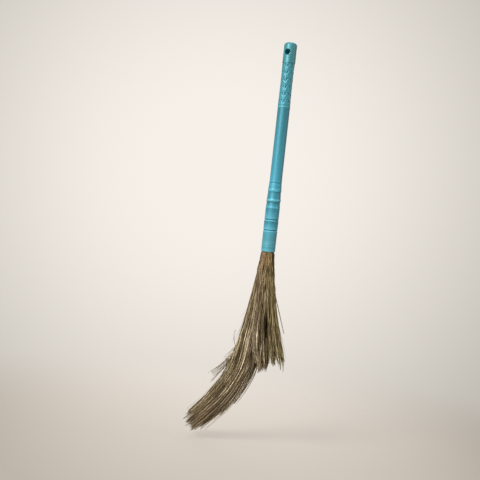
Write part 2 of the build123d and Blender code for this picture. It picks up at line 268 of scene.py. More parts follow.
# Annealed iron wire: dark grey metal with a patchy dull oxide skin in spots of about two millimetres.
oxide_spot = 2.0
iron, tree = new_material("annealed_iron_wire")
object_space = add_node(tree, "TexCoord")
oxide = add_node(tree, "TexNoise", {
    "Vector": object_space.outputs["Object"], "Scale": 1 / (oxide_spot * mm), "Detail": 3.0})
oxide_mix = add_node(tree, "MapRange", {"Value": oxide, "From Min": 0.4, "From Max": 0.65})
iron_colour = add_node(tree, "Mix", {0: oxide_mix, 6: linear("#8B8784"), 7: linear("#6A5548")}, data_type="RGBA")
iron_dullness = add_node(tree, "MapRange", {"Value": oxide_mix, "To Min": 0.4, "To Max": 0.7})
surface = add_node(tree, "BsdfPrincipled", {
    "Base Color": iron_colour, "Roughness": iron_dullness, "Metallic": 1.0})
add_node(tree, "OutputMaterial", {"Surface": surface})
for wire in ("binding_wire_upper", "binding_wire_lower"):
    set_material(wire, iron)

# Handle tube: one polypropylene moulding. The waisted grip carries pressed leaf pairs in upright rows,
# then come a raised band, the plain shaft, four stepped rings and three sleeves between crimp grooves.

tube_sides = 180
seam_z = -24.0
grip_length = 98.0
grip_end_radius = 13.9
grip_waist_radius = 13.3
grip_row_spacing = 0.4
band_radius = 14.4
band_length = 5.0
band_bevel = 1.0
shaft_radius = 14.0
upper_bore_radius = 11.4
bore_step_length = 2.0
collar_wall = 1.9
ring_lengths = (17.0, 19.5, 22.5, 16.0)
ring_neck_radii = (14.0, 14.7, 15.3, 15.8)
ring_lip_radii = (14.35, 15.5, 16.5, 16.4)
ring_crests = (5.0, 6.0, 4.5, 2.6)
ring_swell_share = 0.3
ring_swell_length = 3.0
ring_foot = 1.6
ring_taper = 0.35
ring_grooves = (0.3, 0.55, 0.55, 0.1)
ring_groove_top = 0.1
ring_groove_low = 0.9
sleeve_radius = 16.2
upper_sleeve_length = 23.0
middle_sleeve_length = 21.5
mouth_sleeve_length = 47.5
mouth_radius = 15.9
mouth_taper = 0.1
mouth_taper_length = 3.0
crimp_length = 3.0
crimp_depth = 0.9
crimp_bevel = 1.0
crimp_lip = 0.4
crimp_lip_drop = 0.6
crimp_lip_length = 3.0
press_ridge_heights = (12.0, 15.4, 18.6, 22.0)
press_ridge_height = 0.3
press_ridge_half = 0.9
leaf_columns = 5
leaf_turn = math.radians(8.0)
leaf_rows = 6
leaf_raise = 2.7
leaf_length = 8.2
leaf_width = 4.2
leaf_tilt = math.radians(24.0)
leaf_offset = 3.8
leaf_depth = 0.9
leaf_rim = (-0.3, 0.3)
leaf_slope = (-0.2, 0.9)
vein_height = 0.5
vein_width = 1.25
vein_foot = (0.9, -6.8)
vein_top = (5.9, 2.2)
vein_bend = 0.8
vein_foot_fade = (-0.12, 0.1)
vein_top_fade = (1.2, 0.8)
rib_height = 0.55
rib_width = 1.1
plain_top = 2.0
plain_foot = 1.5


def smooth_step(low, high, value):
    """Rises from 0 at low to 1 at high, with level ends."""
    share = np.clip((value - low) / (high - low), 0, 1)
    return share * share * (3 - 2 * share)


def rounded(corners, steps=5):
    """Outline through corners given as radius, height and the round on that corner."""
    points = [corners[0][:2]]
    for before, corner, after in zip(corners, corners[1:], corners[2:]):
        here = Vector(corner[:2])
        back = Vector(before[:2]) - here
        on = Vector(after[:2]) - here
        trim = min(corner[2], back.length * 0.45, on.length * 0.45)
        start = here + back.normalized() * trim
        end = here + on.normalized() * trim
        for index in range(steps):
            share = index / (steps - 1)
            first = start.lerp(here, share)
            second = here.lerp(end, share)
            points.append(tuple(first.lerp(second, share)))
    points.append(corners[-1][:2])
    return points


def leaf_relief(across, height):
    """How far the grip stands proud, by distance across from a leaf row's rib and height in its pair."""
    beside = np.abs(across)
    over = (beside - leaf_offset) * math.cos(leaf_tilt) - (height - leaf_raise) * math.sin(leaf_tilt)
    along = (beside - leaf_offset) * math.sin(leaf_tilt) + (height - leaf_raise) * math.cos(leaf_tilt)
    half_width = leaf_width / 2 * np.clip(1 - (2 * along / leaf_length) ** 2, -0.5, 1)
    within = half_width - np.abs(over)
    climb = (height - vein_foot[1]) / (vein_top[1] - vein_foot[1])
    vein_place = vein_foot[0] + (vein_top[0] - vein_foot[0]) * np.clip(climb, 0, 1) ** vein_bend
    vein = vein_height * np.exp(-((beside - vein_place) / vein_width) ** 2)
    vein *= smooth_step(*vein_foot_fade, climb) * smooth_step(*vein_top_fade, climb)
    rib = rib_height * np.exp(-(across / rib_width) ** 2)
    proud = np.maximum(vein, rib) * (1 - smooth_step(*leaf_rim, within))
    return proud - leaf_depth * smooth_step(*leaf_slope, within)


grip_low_z = seam_z - grip_length
shaft_top_z = grip_low_z - band_length
low_crimp = mouth_z + mouth_sleeve_length
high_crimp = low_crimp + crimp_length + middle_sleeve_length
rings_end = high_crimp + crimp_length + upper_sleeve_length
collar_top = rings_end + sum(ring_lengths)

# The outline runs down the outside from the seam under the cap to the mouth, and back up the bore.
grip_rows = round(grip_length / grip_row_spacing)
grip = []
for row in range(grip_rows):
    share = row / grip_rows
    radius = grip_waist_radius + (grip_end_radius - grip_waist_radius) * (2 * share - 1) ** 2
    grip.append((radius, seam_z - grip_length * share))
lower = [(grip_end_radius, grip_low_z, 0),
         (band_radius, grip_low_z - band_bevel, 0.7),
         (band_radius, shaft_top_z + band_bevel, 0.9),
         (shaft_radius, shaft_top_z, 0.8),
         (ring_neck_radii[0], collar_top, 6.0)]
ring_z = collar_top
next_necks = ring_neck_radii[1:] + (sleeve_radius,)
rings = zip(ring_lengths, ring_neck_radii, ring_lip_radii, next_necks, ring_crests, ring_grooves)
for length, neck, lip, next_neck, crest, groove in rings:
    ring_z -= length
    lower += [(neck + ring_swell_share * (lip - neck), ring_z + crest + ring_swell_length, 3.0),
              (lip, ring_z + crest, 2.0),
              (lip - ring_taper, ring_z + ring_foot, 1.2),
              (next_neck - groove, ring_z + ring_groove_top, 0.4),
              (next_neck - groove, ring_z - ring_groove_low, 0.5)]
for low in (high_crimp, low_crimp):
    lower += [(sleeve_radius, low + crimp_length, 0.6),
              (sleeve_radius - crimp_depth, low + crimp_length - crimp_bevel, 0.5),
              (sleeve_radius - crimp_depth, low + crimp_bevel, 0.4),
              (sleeve_radius + crimp_lip, low - crimp_lip_drop, 0.6),
              (sleeve_radius, low - crimp_lip_length, 1.0)]
for height in reversed(press_ridge_heights):
    wall = mouth_radius + (sleeve_radius - mouth_radius) * height / mouth_sleeve_length
    lower += [(wall, mouth_z + height + press_ridge_half, 0.4),
              (wall + press_ridge_height, mouth_z + height, 0.5),
              (wall, mouth_z + height - press_ridge_half, 0.4)]
lower += [(mouth_radius + mouth_taper, mouth_z + mouth_taper_length, 1.0),
          (mouth_radius, mouth_z, 0.7),
          (mouth_radius - collar_wall, mouth_z, 0.5),
          (sleeve_radius - collar_wall, low_crimp, 0.5),
          (ring_neck_radii[1] - collar_wall, collar_top, 3.0),
          (upper_bore_radius, collar_top + bore_step_length, 1.0),
          (upper_bore_radius, seam_z, 0.3),
          (grip_end_radius, seam_z, 0.4)]
outline = np.array(grip + rounded(lower)[:-1])

turns = np.arange(tube_sides) * 2 * math.pi / tube_sides
radii = np.repeat(outline[:, :1], tube_sides, axis=1)
heights = np.repeat(outline[:, 1:], tube_sides, axis=1)
column_turn = 2 * math.pi / leaf_columns
from_column = (turns + math.pi / 2 - leaf_turn + column_turn / 2) % column_turn - column_turn / 2
pair_height = grip_length / leaf_rows
below_seam = seam_z - heights[:grip_rows]
above_band = heights[:grip_rows] - grip_low_z
from_pair = below_seam % pair_height - pair_height / 2
pressed = smooth_step(0, plain_top, below_seam) * smooth_step(0, plain_foot, above_band)
relief = np.zeros_like(radii)
relief[:grip_rows] = leaf_relief(from_column[None, :] * radii[:grip_rows], -from_pair) * pressed

# A painted highlight lightens what stands proud of the wall around it, above the rings less than on them.
# Painted shade darkens what is deeper, the upper two sleeves, and the seam under the cap.
edge_reach = 2.0
edge_height = 0.4
edge_light_and_shade_gain = 2.5
highlight_spared = 0.75
highlight_spared_from = (30, 10)
leaf_highlight = 0.2
sleeve_painted_shade = 0.23
sleeve_shade_blend = 2
seam_painted_shadow = 0.36
seam_shadow_reach = (2.2, 0.6)
wall_step = 0.25
outer_rows = int(np.argmin(outline[:, 1])) + 1
outer_radii, outer_z = outline[:outer_rows].T
level = np.arange(mouth_z, seam_z, wall_step)
wall = np.interp(-level, -outer_z, outer_radii)
weights = np.exp(-(np.arange(-6 * edge_reach, 6 * edge_reach + wall_step, wall_step) / edge_reach) ** 2 / 2)
padded = np.pad(wall, len(weights) // 2, mode="edge")
even_wall = np.convolve(padded, weights / weights.sum(), mode="valid")[:len(level)]
edges = outer_radii - np.interp(outer_z, level, even_wall)
above_rings = smooth_step(collar_top - highlight_spared_from[0], collar_top - highlight_spared_from[1], outer_z)
on_sleeves = smooth_step(rings_end + sleeve_shade_blend, rings_end - sleeve_shade_blend, outer_z)
on_sleeves = on_sleeves * smooth_step(low_crimp - sleeve_shade_blend, high_crimp + crimp_length, outer_z)
# Painted highlight where the wall stands proud, less on the grip's veins and ribs; painted shade in grooves and
# leaf pits, on the upper two sleeves, and as a painted shadow in the seam under the cap.
edge_light_and_shade = edge_light_and_shade_gain * np.where(edges > 0, 1 - highlight_spared * above_rings, 1) * edges
proud = np.where(relief > 0, leaf_highlight, 1) * relief
proud[:outer_rows] += (edge_light_and_shade - sleeve_painted_shade * on_sleeves)[:, None]
proud -= seam_painted_shadow * smooth_step(*seam_shadow_reach, seam_z - heights)

radii = radii + relief
corners = np.stack([radii * np.cos(turns), radii * np.sin(turns), heights], axis=2).reshape(-1, 3)
ring = np.arange(len(outline))[:, None] * tube_sides
below = np.roll(ring, -1, axis=0)
here = np.arange(tube_sides)[None, :]
beside = (here + 1) % tube_sides
faces = np.stack([ring + here, below + here, below + beside, ring + beside], axis=2).reshape(-1, 4)

# Polypropylene, moulded and satin: turquoise with faint cloudy flow marks, 17 mm wide and 70 mm long, and a
# soft wide highlight. What stands proud is painted paler, as a painted highlight, what lies deep is painted
# darker, as painted shade, and the lowest sleeve is greyer. The moulded skin's fine grain is drawn coarser, at
# 0.8 mm.
tube_flow_in_metre = (60, 60, 14)
grain_size = 0.8


def satin_polypropylene(name, flow_in_metre):
    """The material of a moulding, without its colour."""
    material, tree = new_material(name)
    object_space = add_node(tree, "TexCoord")
    flow_space = add_node(tree, "Mapping", {"Vector": object_space.outputs["Object"], "Scale": flow_in_metre})
    flow = add_node(tree, "TexNoise", {"Vector": flow_space, "Scale": 1.0, "Detail": 3.0})
    clouds = add_node(tree, "MapRange", {"Value": flow, "From Min": 0.3, "From Max": 0.7})
    satin = add_node(tree, "MapRange", {
        "Value": flow, "From Min": 0.3, "From Max": 0.7, "To Min": 0.4, "To Max": 0.5})
    grain = add_node(tree, "TexNoise", {
        "Vector": object_space.outputs["Object"], "Scale": 1 / (grain_size * mm)})
    skin = add_node(tree, "Bump", {"Height": grain, "Strength": 0.05, "Distance": 0.2 * mm})
    surface = add_node(tree, "BsdfPrincipled", {
        "Roughness": satin, "Normal": skin, "IOR": 1.49, "Specular IOR Level": 0.9,
        "Specular Tint": linear("#A8EEFF")})
    add_node(tree, "OutputMaterial", {"Surface": surface})
    return material, tree, object_space, clouds, satin, surface


plastic, tree, object_space, clouds, _, surface = satin_polypropylene("satin_polypropylene", tube_flow_in_metre)
painted_shade_value = add_node(tree, "Attribute", attribute_name="painted_shade")
painted_highlight = add_node(tree, "Attribute", attribute_name="painted_highlight")
upright = add_node(tree, "SeparateXYZ", {0: object_space.outputs["Object"]})
down = add_node(tree, "MapRange", {"Value": upright.outputs["Z"], "From Min": -30 * mm, "From Max": mouth_z * mm})
cloud_low = add_node(tree, "Mix", {0: down, 6: linear("#336E76"), 7: linear("#3A8A9F")}, data_type="RGBA")
cloud_high = add_node(tree, "Mix", {0: down, 6: linear("#3B7980"), 7: linear("#4396AC")}, data_type="RGBA")
clouded = add_node(tree, "Mix", {0: clouds, 6: cloud_low, 7: cloud_high}, data_type="RGBA")
greyed_share = add_node(tree, "MapRange", {
    "Value": upright.outputs["Z"], "From Min": -405 * mm, "From Max": -425 * mm, "To Max": 0.3})
greyed = add_node(tree, "Mix", {0: greyed_share, 6: clouded, 7: linear("#658A84")}, data_type="RGBA")
# Painted highlight: a paler turquoise on what stands proud.
highlight_share = add_node(tree, "Math", {0: painted_highlight.outputs["Fac"], 1: 0.3}, operation="MULTIPLY")
highlighted = add_node(tree, "Mix", {0: highlight_share, 6: greyed, 7: linear("#7CC4CE")}, data_type="RGBA")
# Painted shade: a dark teal in what lies deep, on the upper sleeves and in the seam.
shade_share = add_node(tree, "Math", {0: painted_shade_value.outputs["Fac"], 1: 0.85}, operation="MULTIPLY")
painted_shade_mix = add_node(tree, "Mix", {0: shade_share, 6: highlighted, 7: linear("#1D5560")}, data_type="RGBA")
tree.links.new(painted_shade_mix.outputs[2], surface.inputs["Base Color"])

tube = new_piece("tube_moulding", corners, faces, plastic)
# Painted shade and painted highlight, for each corner.
point_values(tube, "painted_shade", np.clip(-proud / edge_height, 0, 1).ravel())
point_values(tube, "painted_highlight", np.clip(proud / edge_height, 0, 1).ravel())
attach(tube, "handle")
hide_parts("handle_tube")

# Retaining nails: two bright wire nails with flat heads, driven through the back of the collar into
# the peg.

# Bright nail steel: cold-headed, grey, with shallow die marks a millimetre apart and a rust bloom in spots
# of a millimetre and a half.
rust_spots_in_metre = 700.0
die_mark_pitch = 1.0
nail_steel, tree = new_material("bright_nail_steel")
object_space = add_node(tree, "TexCoord")
bloom = add_node(tree, "TexNoise", {
    "Vector": object_space.outputs["Object"], "Scale": rust_spots_in_metre, "Detail": 4.0})
bloom_mix = add_node(tree, "MapRange", {"Value": bloom, "From Min": 0.52, "From Max": 0.75})
steel_colour = add_node(tree, "Mix", {0: bloom_mix, 6: linear("#B9B9BB"), 7: linear("#7C5F4A")}, data_type="RGBA")
steel_dullness = add_node(tree, "MapRange", {"Value": bloom_mix, "To Min": 0.3, "To Max": 0.65})
die_marks = add_node(tree, "TexNoise", {
    "Vector": object_space.outputs["Object"], "Scale": 1 / (die_mark_pitch * mm)})
die_bump = add_node(tree, "Bump", {"Height": die_marks, "Strength": 0.15, "Distance": 0.2 * mm})
surface = add_node(tree, "BsdfPrincipled", {
    "Base Color": steel_colour, "Roughness": steel_dullness, "Metallic": 1.0, "Normal": die_bump})
add_node(tree, "OutputMaterial", {"Surface": surface})
set_material("retaining_nails", nail_steel)

# Hang cap: a separate polypropylene moulding with a rounded crown and a hole across it for a hook. Its
# spigot is pushed into the tube, so a seam runs round under it, and the tube is painted darker there as painted
# shadow.

# Polypropylene from another shot: the same satin turquoise, a little greyer. The hole's bore is left rough
# from the mould and painted a lighter, bluer turquoise as painted light, and its rim is painted darker as painted
# shade.
cap_flow_in_metre = (60, 60, 30)
hole_radius = 6.6
hole_edge = 0.2
rim_shade_start = 0.4
rim_shade_end = 1.0
cap_plastic, tree, object_space, clouds, satin, surface = satin_polypropylene(
    "satin_polypropylene_cap", cap_flow_in_metre)
cap_colour = add_node(tree, "Mix", {0: clouds, 6: linear("#30676B"), 7: linear("#387074")}, data_type="RGBA")
from_axis = add_node(tree, "VectorMath", {0: object_space.outputs["Object"], 1: (1, 0, 1)}, operation="MULTIPLY")
axis_distance = add_node(tree, "VectorMath", {0: from_axis}, operation="LENGTH")
in_hole = add_node(tree, "MapRange", {
    "Value": axis_distance, "From Min": hole_radius * mm,
    "From Max": (hole_radius + hole_edge) * mm, "To Min": 1.0, "To Max": 0.0})
by_hole = add_node(tree, "MapRange", {
    "Value": axis_distance, "From Min": (hole_radius + rim_shade_start) * mm,
    "From Max": (hole_radius + rim_shade_end) * mm, "To Min": 0.8, "To Max": 0.0})
# Painted shade on the hole's rim.
rim_painted_shade = add_node(tree, "Mix", {0: by_hole, 6: cap_colour, 7: linear("#134A54")}, data_type="RGBA")
# Painted light in the bore: a lighter, bluer turquoise.
bore_painted_light = add_node(tree, "Mix", {0: in_hole, 6: rim_painted_shade, 7: linear("#2A8494")}, data_type="RGBA")
rough = add_node(tree, "Mix", {0: in_hole, 2: satin, 3: 0.9})
tree.links.new(bore_painted_light.outputs[2], surface.inputs["Base Color"])
tree.links.new(rough.outputs[0], surface.inputs["Roughness"])
set_material("hang_cap", cap_plastic)

# Grass hanks: ten hanks of stiff dry grass stems, jammed in the collar, that open below its mouth into a
# flat fan. They have set with use: one side has worn short into pointed tufts, and the other sweeps away
# into a long tail, which is worn off along a slanting line and ends in steps on its inner side.

# Stems lie in locks, and locks in bunches and clumps.
lock_pitch = 0.85
lock_edge_room = 0.3
lock_turn = math.radians(10.0)
lock_gather = 0.72
lock_gather_depths = (15, 130)
bunch_pitch = 2.0
bunch_turn = math.radians(41.0)
clump_pitch = 4.3
clump_turn = math.radians(27.0)
clump_gather = 0.12
clump_gather_depths = (30, 190)
stems_in_lock = 4
stem_off_lock = 0.62
stem_root_gap = 0.5
stem_root_radius = 0.36
stem_middle_radius = 0.46
stem_swell_depth = 130.0
stem_tip_share = 0.5
stem_sizes = (0.7, 1.25)
broken_share = 0.14
broken_loss = 0.2

# The fan, from the mouth down.
mouth_fill = 0.8
mouth_swell = 3.4
mouth_swell_length = 6.0
fan_start = math.hypot(3.0, bundle_radius)
fan_side_slope = 0.11
fan_side_curve = 0.00036
fan_front_slope = 0.055
short_side_flare = 0.00028
tail_start = 260.0
tail_side_slope = 0.138
sweep_start = 250.0
sweep_rate = 0.017
sweep_power = 1.7
side_hank_start = 4.5

# Tufts of the short side. A gather is a share across and a share through the fan.
parting = -0.08
tuft_edges = (-0.08, 0.36, 0.55, 0.74, 0.87, 1.02)
tuft_tips = (0.286, 0.44, 0.667, 0.88, 1.0)
tuft_lengths = (279.0, 276.0, 260.0, 273.0, 265.0)
tuft_notch_length = 242.0
tuft_point_length = 22.0
tuft_steepness = 1.6
tuft_gather = (0.62, 0.35)
tuft_gather_start = 205.0
tuft_through = 0.42
tuft_thinning = 3
tuft_ragged_length = 7.8
tuft_end_spread = 0.04
back_tuft_shift = 0.14
back_tuft_shorter = 5.0

# Locks of the tail.
tail_longest = 480.0
tail_lock_edges = (-1.3, -0.74, -0.5, -0.36, -0.2, -0.1, -0.02, 0.2)
tail_lock_tips = (-0.86, -0.6, -0.42, -0.25, 0.06, 0.18, 0.25)
tail_lock_lengths = (tail_longest, tail_longest, tail_longest, tail_longest, 440.0, 404.0, 371.0)
tail_lock_slant = 0.23
tail_gather = (0.36, 0.0)
tail_gather_start = 320.0
tail_ragged_length = 26.0
tail_ragged_shares = (0.4, 0.6)
tail_end_spread = 0.025
worn_turn = math.radians(26.0)
worn_across = -151.0
worn_depth = 423.0
worn_slope = 0.95
worn_side = -163.0

# Wander of the stems, and a gap that stands open in the front of the short side.
mouth_steps = (0.0, 5.0)
crinkle_length = 150.0
crinkle_steps = 11
long_steps = 12
long_waves = ((180, 320), (60, 120))
short_waves = ((26, 44), (40, 70))
lock_wander = 0.78
stem_wander = 0.156
wander_depth = 260
wander_limit = 1.3
crinkle = 0.6
crinkle_start = (0, 25)
crinkle_end = (100, 200)
crinkle_loss = 0.6
lock_drift = 0.035
drift = 0.008
drift_power = 1.5
unruly_share = 0.06
unruly_drift = 0.12
widest = 0.97
gap_across = 0.51
gap_depth = 176.0
gap_half_length = 40.0
gap_half_width = 0.13
gap_front = (0.2, -0.4)
gap_push = 4.0
gap_shade = 0.65

# Tones from dark to light, set at depths. Stems inside the bundle are painted darker, as painted shade, until
# the fan opens and bares them, the upper left is painted darker as painted shade, the middle is bleached, and
# the right is the most olive.
tone_depths = np.array((0, 22, 48, 78, 112, 152, 200, 262, 340, 460))
tone_depth_jitter = 10
tone_contrast = (0.7, 0.6)
clump_tone_range = (0.3, 0.75)
clump_tone_share = 0.15
lock_tone_least = 0.3
lock_tone_more = 0.6
lock_tone_depths = (90, 220)
stem_tone_share = 0.15
inside_light = 0.32
outside_start = (0.8, 0.97)
short_side_bared = 0.94
tail_bared_loss = 1.4
bared_depths = (195, 255)
left_shade = 0.3
left_shade_across = (0.2, 0.8)
left_shade_depths = (230, 160)
bleach = 0.14
bleach_across = (0.3, 0.1)
bleach_start_depths = (140, 180)
bleach_end_depths = (270, 235)
mouth_tone = 0.66
mouth_tone_depths = (40, 190)
clump_hue_share = 0.4
lock_hue_share = 0.2
right_hue = 0.6
right_hue_across = (0.1, 0.8)

# Wisps split off some of the stems.
wisp_share = 0.08
wisp_first_step = 10
wisp_last_step = 3
wisp_lengths = (22, 55)
wisp_rest_share = 0.8
wisp_points = 6
wisp_away = 0.16
wisp_curl = 0.10
wisp_radius = 0.26
wisp_taper = 0.5


def fan_line(across, through, depth):
    """Centre line of a stem from its place across and through the bundle, at depths below the mouth."""
    opened = np.maximum(0, depth)
    swell = mouth_fill + (mouth_swell - mouth_fill) * np.minimum(1, opened / mouth_swell_length)
    opened = np.maximum(0, depth - fan_start)
    y = through * (bundle_radius + swell * (depth >= 0) + fan_front_slope * opened)
    reach = np.hypot(depth, y)
    opened = np.maximum(0, np.minimum(reach, tail_start) - fan_start)
    half_width = bundle_radius + swell + fan_side_slope * opened + fan_side_curve * opened ** 2
    half_width = half_width + tail_side_slope * np.maximum(0, reach - tail_start)
    half_width = half_width + short_side_flare * opened ** 2 * np.maximum(0, across)
    half_width = np.where(depth >= 0, half_width, bundle_radius)
    sweep = sweep_rate * np.maximum(0, reach - sweep_start) ** sweep_power * (depth > 0)
    return np.stack([across * half_width - sweep, y, mouth_z - depth], axis=1)


def hank_name(x, y):
    """The hank that a stem at this place in the bundle belongs to."""
    if abs(x) < side_hank_start:
        return "hank_centre_" + ("left_" if x < 0 else "right_") + ("front" if y < 0 else "back")
    row = "middle" if abs(y) < bundle_radius / 3 else "front" if y < 0 else "back"
    return "hank_" + ("left_" if x < 0 else "right_") + row


def honeycomb(pitch, turn, limit):
    """Places of a honeycomb, turned about its middle, within a limit from it."""
    row_pitch = pitch * math.sqrt(0.75)
    count = math.ceil(limit / row_pitch) + 1
    places = []
    for row in range(-count, count + 1):
        for column in range(-count, count + 1):
            step = (column + row % 2 / 2) * pitch
            x = row * row_pitch * math.cos(turn) - step * math.sin(turn)
            y = row * row_pitch * math.sin(turn) + step * math.cos(turn)
            if math.hypot(x, y) < limit:
                places.append((x, y))
    return np.array(places)


def nearest(places, x, y):
    """The number of the place that is nearest to x and y."""
    return np.argmin(np.hypot(places[:, 0] - x, places[:, 1] - y))


def between(edges, value):
    """The number of the stretch between edges that a value lies in."""
    return min(max(np.searchsorted(edges, value) - 1, 0), len(edges) - 2)


def waves(depth, lengths, choice):
    """A sideways wander along a stem, from one sine wave for each range of lengths."""
    total = 0
    for shortest, longest in lengths:
        length = choice.uniform(shortest, longest)
        total = total + np.sin(2 * math.pi * (depth / length + choice.random())) * length / longest
    return total


def short_lock_end(across, through, choice):
    """The tip of the tuft that a lock of the short side joins, the tuft's length and the lock's length."""
    is_back = through > 0
    shift = back_tuft_shift * is_back
    tuft = between(tuft_edges, across + shift)
    tip_across = tuft_tips[tuft] - shift
    tip_through = tuft_through * math.copysign(min(1, tuft_thinning * (1 - tip_across)), through)
    tip_length = tuft_lengths[tuft] - back_tuft_shorter * is_back
    off_tip = abs(across - tip_across) / (tuft_edges[tuft + 1] - tuft_edges[tuft])
    point = min(tuft_point_length, tip_length - tuft_notch_length)
    length = tip_length - point * min(1, tuft_steepness * off_tip) - tuft_ragged_length * choice.random()
    return (tip_across, tip_through), tip_length, length


def tail_lock_end(across, through, bunch_end, choice):
    """The tip that a lock of the tail gathers to, the length that it is worn off at, and the lock's length."""
    depths = np.arange(tail_start, tail_longest)
    swept = fan_line(across, through, depths)
    swept_across = swept[:, 0] * math.cos(worn_turn) + swept[:, 1] * math.sin(worn_turn) - worn_across
    is_worn = (depths > worn_depth + worn_slope * swept_across) | (swept_across < 0) | (swept[:, 0] < worn_side)
    lock = between(tail_lock_edges, across + tail_lock_slant * through)
    tip_length = min(depths[np.argmax(is_worn)], tail_lock_lengths[lock])
    own_share, bunch_share = tail_ragged_shares
    length = tip_length - tail_ragged_length * (own_share * choice.random() ** 2 + bunch_share * bunch_end ** 2)
    return (tail_lock_tips[lock] - tail_lock_slant * through, through), tip_length, length


hank_stems = {}
choice = np.random.default_rng(11)
clumps = honeycomb(clump_pitch, clump_turn, bundle_radius)
clump_tones = choice.uniform(*clump_tone_range, len(clumps))
clump_hues = choice.uniform(0, 1, len(clumps))
bunches = honeycomb(bunch_pitch, bunch_turn, bundle_radius)
bunch_tones = choice.beta(*tone_contrast, (len(bunches), len(tone_depths)))
bunch_ends = np.random.default_rng(5).random(len(bunches))
upper_depths = np.linspace(fan_start, crinkle_length, crinkle_steps)
for x, y in honeycomb(lock_pitch, lock_turn, bundle_radius - lock_edge_room):
    lock_place = np.array((x, y)) / bundle_radius
    lock_across, lock_through = lock_place
    clump = nearest(clumps, x, y)
    clump_place = clumps[clump] / bundle_radius
    bunch = nearest(bunches, x, y)
    is_short = lock_across > parting

    own_depths = tone_depths + choice.uniform(-tone_depth_jitter, tone_depth_jitter, len(tone_depths))
    # Painted shade: buried stems keep only part of their tone until the fan bares them, and the upper left keeps
    # less.
    bared = short_side_bared if is_short else 1 - tail_bared_loss * (parting - lock_across)
    outwards = min(1, math.hypot(lock_across, lock_through))
    outwards = np.maximum(outwards, bared * smooth_step(*bared_depths, own_depths))
    in_light = inside_light + (1 - inside_light) * smooth_step(*outside_start, outwards)
    shaded = smooth_step(*left_shade_across, -lock_across) * smooth_step(*left_shade_depths, own_depths)
    in_light *= 1 - left_shade * shaded
    bleached = smooth_step(*bleach_start_depths, own_depths) * smooth_step(*bleach_end_depths, own_depths)
    bleached = bleach * smooth_step(*bleach_across, lock_across) * bleached
    own_share = lock_tone_least + lock_tone_more * smooth_step(*lock_tone_depths, own_depths)
    lock_tones = own_share * choice.beta(*tone_contrast, len(tone_depths)) + (1 - own_share) * bunch_tones[bunch]
    lock_tones = clump_tone_share * clump_tones[clump] + (1 - clump_tone_share) * lock_tones
    lean = choice.normal(0, lock_drift, 2)
    lock_hue = clump_hue_share * clump_hues[clump] + lock_hue_share * choice.random()
    lock_hue = min(1, lock_hue + right_hue * smooth_step(*right_hue_across, lock_across))
    wave_seed = choice.integers(1 << 30)

    if is_short:
        tip, tip_length, lock_length = short_lock_end(lock_across, lock_through, choice)
        gather, gather_start, end_spread = tuft_gather, tuft_gather_start, tuft_end_spread
    else:
        tip, tip_length, lock_length = tail_lock_end(lock_across, lock_through, bunch_ends[bunch], choice)
        gather, gather_start, end_spread = tail_gather, tail_gather_start, tail_end_spread
    near_gap = (lock_across - gap_across) / gap_half_width
    opening = math.copysign(math.exp(-near_gap ** 2), near_gap) * smooth_step(*gap_front, lock_through)
    root = -math.sqrt(max(0, bundle_radius ** 2 - x * x - y * y)) + stem_root_gap
    stems = hank_stems.setdefault(hank_name(x, y), [])
    for stem in range(stems_in_lock):
        turn = choice.uniform(0, 2 * math.pi)
        out = math.sqrt(choice.random()) * stem_off_lock * lock_pitch / bundle_radius
        length = lock_length * (1 - end_spread * choice.random() ** 2)
        if choice.random() < broken_share:
            length *= 1 - broken_loss * choice.random()
        lower_depths = np.linspace(crinkle_length, length, long_steps)[1:]
        depth = np.concatenate([(root,) + mouth_steps, upper_depths, lower_depths])
        along = np.clip(depth / length, 0, 1)
        kept = 1 - lock_gather * smooth_step(*lock_gather_depths, depth)
        gathered = clump_gather * smooth_step(*clump_gather_depths, depth)
        leaning = unruly_drift if choice.random() < unruly_share else drift
        path = lock_place + out * np.array((math.cos(turn), math.sin(turn))) * kept[:, None]
        path = path + (clump_place - lock_place) * gathered[:, None] + lean * along[:, None]
        path = path / np.maximum(1, np.hypot(path[:, 0], path[:, 1]) / widest)[:, None]
        path = path + choice.normal(0, leaning, 2) * along[:, None] ** drift_power
        path = path + (tip - path) * gather * smooth_step(gather_start, tip_length, depth)[:, None]
        stem_place = np.column_stack([path, depth * mm])
        line = fan_line(path[:, 0], path[:, 1], depth)

        wave = np.random.default_rng(wave_seed)
        growing = np.clip(depth / wander_depth, 0, wander_limit)
        crinkled = smooth_step(*crinkle_start, depth) * (1 - crinkle_loss * smooth_step(*crinkle_end, depth))
        for axis in (0, 1):
            line[:, axis] += lock_wander * growing * waves(depth, long_waves, wave)
            line[:, axis] += stem_wander * growing * waves(depth, long_waves, choice)
            line[:, axis] += crinkle * crinkled * waves(depth, short_waves, wave)
        in_gap = np.exp(-((depth - gap_depth) / gap_half_length) ** 2)
        line[:, 0] += gap_push * opening * in_gap

        swollen = np.clip(depth / stem_swell_depth, 0, 1)
        radii = stem_root_radius + (stem_middle_radius - stem_root_radius) * swollen
        radii = radii * choice.uniform(*stem_sizes) * (1 - (1 - stem_tip_share) * along ** 3)
        tones = (1 - stem_tone_share) * lock_tones + stem_tone_share * choice.random()
        stem_tone = np.interp(depth, own_depths, in_light * tones + bleached)
        from_mouth = mouth_tone + (1 - mouth_tone) * smooth_step(*mouth_tone_depths, depth)
        # Stems in the open gap are painted darker, as painted shade.
        stem_tone = np.clip(stem_tone * from_mouth, 0, 1) * (1 - gap_shade * abs(opening) ** 0.5 * in_gap)
        stems.append((line, radii, stem_tone, lock_hue, stem_place))

